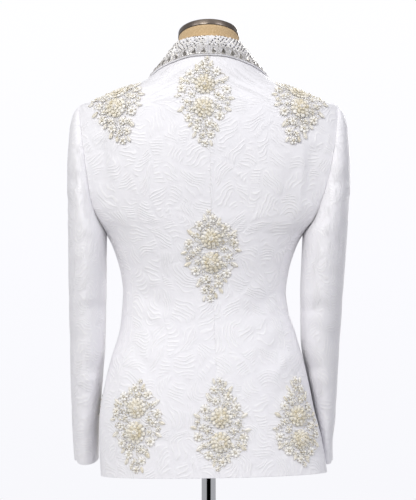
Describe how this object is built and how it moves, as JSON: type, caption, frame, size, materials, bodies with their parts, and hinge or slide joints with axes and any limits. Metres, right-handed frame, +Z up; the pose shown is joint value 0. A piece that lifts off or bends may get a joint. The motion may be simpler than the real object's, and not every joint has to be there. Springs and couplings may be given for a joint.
{
  "type": "tuxedo jacket on a dress form",
  "caption": "White jacquard tuxedo jacket with a stone-covered shawl collar and beaded floral motifs, worn by a limbless dress form on a round stand.",
  "frame": {"origin": "on the floor at the middle of the base, under the pole", "axes": "+Z up, the wearer faces -Y, the wearer's left is +X"},
  "size_m": [0.5004, 0.36, 1.5808],
  "materials": {
    "jacquard": "white jacquard with a soft satin sheen and a leaf relief",
    "beaded_collar": "satin covered with silver-grey stones and pearly beads",
    "beaded_lace": "ivory lace with champagne-gold beads",
    "linen": "matt tan linen cover",
    "dark_cap": "dark satin neck cap",
    "chrome": "polished chrome"
  },
  "bodies": {
    "root": {"back_left": "jacquard", "back_right": "jacquard", "side_left": "jacquard", "side_right": "jacquard", "front_left": "jacquard", "front_right": "jacquard", "top_sleeve_left": "jacquard", "top_sleeve_right": "jacquard", "under_sleeve_left": "jacquard", "under_sleeve_right": "jacquard", "button_front": "jacquard", "collar_left": "beaded_collar", "collar_right": "beaded_collar", "motif_shoulder_left": "beaded_lace", "motif_shoulder_right": "beaded_lace", "motif_nape": "beaded_lace", "motif_mid_back": "beaded_lace", "motif_hem_left": "beaded_lace", "motif_hem_centre": "beaded_lace", "motif_hem_right": "beaded_lace", "motif_hip_left": "beaded_lace", "motif_hip_right": "beaded_lace", "form_torso": "linen", "form_neck_cap": "dark_cap", "form_pole": "chrome", "form_base": "chrome"}
  },
  "joints": []
}
